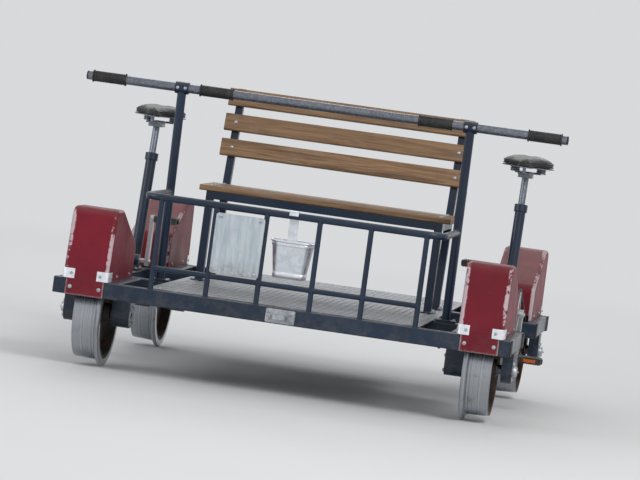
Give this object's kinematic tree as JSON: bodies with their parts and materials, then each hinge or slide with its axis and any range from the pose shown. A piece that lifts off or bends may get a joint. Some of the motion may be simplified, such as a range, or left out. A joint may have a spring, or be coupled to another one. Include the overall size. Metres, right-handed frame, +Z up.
{
  "type": "pedal rail car",
  "caption": "Open pedal-driven rail car with a saddle over each rail, a bench between, red wheel guards and a full-width handlebar.",
  "frame": {"origin": "ground plane under the middle of the car, at the lowest point of the wheel flanges; the rail head lies 25 mm above it", "axes": "+Z up, front faces -Y, +X is the riders' left"},
  "size_m": [1.86, 1.8998, 1.1078],
  "materials": {
    "frame_paint": "gloss dark blue-black paint, scuffed",
    "guard_red": "gloss dark red",
    "wheel_steel": "tread polished by the rail, sides dull",
    "bar_steel": "galvanised, satin",
    "galvanised_steel": "galvanised, dull",
    "floor_metal": "chequered plate, worn",
    "board_white": "pale grey, matt",
    "tub_metal": "galvanised, satin",
    "grip_rubber": "matt black",
    "bench_wood": "oiled, weathered",
    "chain_steel": "oiled",
    "saddle_vinyl": "black vinyl, satin",
    "crank_alloy": "satin",
    "pedal_plastic": "black, moulded"
  },
  "bodies": {
    "chassis": {"bench_back": "bench_wood", "bench_frame": "frame_paint", "bench_seat": "bench_wood", "brake_brackets": "frame_paint", "brake_lever": "frame_paint", "brake_shaft": "frame_paint", "chains": "chain_steel", "cross_beams": "frame_paint", "floor_plate": "floor_metal", "floor_stringers": "frame_paint", "front_railing": "frame_paint", "front_tub": "tub_metal", "handlebar": "bar_steel", "handlebar_grips": "grip_rubber", "handlebar_posts": "frame_paint", "luggage_deck": "floor_metal", "number_board": "board_white", "saddle_left": "saddle_vinyl", "saddle_masts": "frame_paint", "saddle_right": "saddle_vinyl", "seat_posts": "bar_steel", "side_rails": "frame_paint", "tow_eyes": "galvanised_steel", "wheel_fork_front_left": "frame_paint", "wheel_fork_front_right": "frame_paint", "wheel_fork_rear_left": "frame_paint", "wheel_fork_rear_right": "frame_paint", "wheel_guard_front_left": "guard_red", "wheel_guard_front_right": "guard_red", "wheel_guard_rear_left": "guard_red", "wheel_guard_rear_right": "guard_red"},
    "front_left_wheel": {"wheel_front_left": "wheel_steel", "axle_front_left": "bar_steel"},
    "front_right_wheel": {"wheel_front_right": "wheel_steel", "axle_front_right": "bar_steel"},
    "rear_left_wheel": {"wheel_rear_left": "wheel_steel", "axle_rear_left": "bar_steel"},
    "rear_right_wheel": {"wheel_rear_right": "wheel_steel", "axle_rear_right": "bar_steel"},
    "left_crank": {"crank_set_left": "crank_alloy"},
    "left_inner_pedal": {"pedal_inner_left": "pedal_plastic"},
    "left_outer_pedal": {"pedal_outer_left": "pedal_plastic"},
    "right_crank": {"crank_set_right": "crank_alloy"},
    "right_inner_pedal": {"pedal_inner_right": "pedal_plastic"},
    "right_outer_pedal": {"pedal_outer_right": "pedal_plastic"}
  },
  "joints": [
    {"name": "front_left_wheel_turn", "type": "hinge", "parent": "chassis", "child": "front_left_wheel", "pos_m": [0.752, -0.6, 0.205], "axis": [1, 0, 0], "continuous": true},
    {"name": "front_right_wheel_turn", "type": "hinge", "parent": "chassis", "child": "front_right_wheel", "pos_m": [-0.752, -0.6, 0.205], "axis": [1, 0, 0], "continuous": true},
    {"name": "rear_left_wheel_turn", "type": "hinge", "parent": "chassis", "child": "rear_left_wheel", "pos_m": [0.752, 0.6, 0.205], "axis": [1, 0, 0], "continuous": true},
    {"name": "rear_right_wheel_turn", "type": "hinge", "parent": "chassis", "child": "rear_right_wheel", "pos_m": [-0.752, 0.6, 0.205], "axis": [1, 0, 0], "continuous": true},
    {"name": "left_crank_turn", "type": "hinge", "parent": "chassis", "child": "left_crank", "pos_m": [0.745, -0.06, 0.385], "axis": [1, 0, 0], "continuous": true},
    {"name": "left_inner_pedal_turn", "type": "hinge", "parent": "left_crank", "child": "left_inner_pedal", "pos_m": [0.6115, -0.06, 0.555], "axis": [1, 0, 0], "continuous": true},
    {"name": "left_outer_pedal_turn", "type": "hinge", "parent": "left_crank", "child": "left_outer_pedal", "pos_m": [0.8785, -0.06, 0.215], "axis": [1, 0, 0], "continuous": true},
    {"name": "right_crank_turn", "type": "hinge", "parent": "chassis", "child": "right_crank", "pos_m": [-0.745, -0.06, 0.385], "axis": [1, 0, 0], "continuous": true},
    {"name": "right_inner_pedal_turn", "type": "hinge", "parent": "right_crank", "child": "right_inner_pedal", "pos_m": [-0.6115, -0.06, 0.555], "axis": [1, 0, 0], "continuous": true},
    {"name": "right_outer_pedal_turn", "type": "hinge", "parent": "right_crank", "child": "right_outer_pedal", "pos_m": [-0.8785, -0.06, 0.215], "axis": [1, 0, 0], "continuous": true}
  ]
}
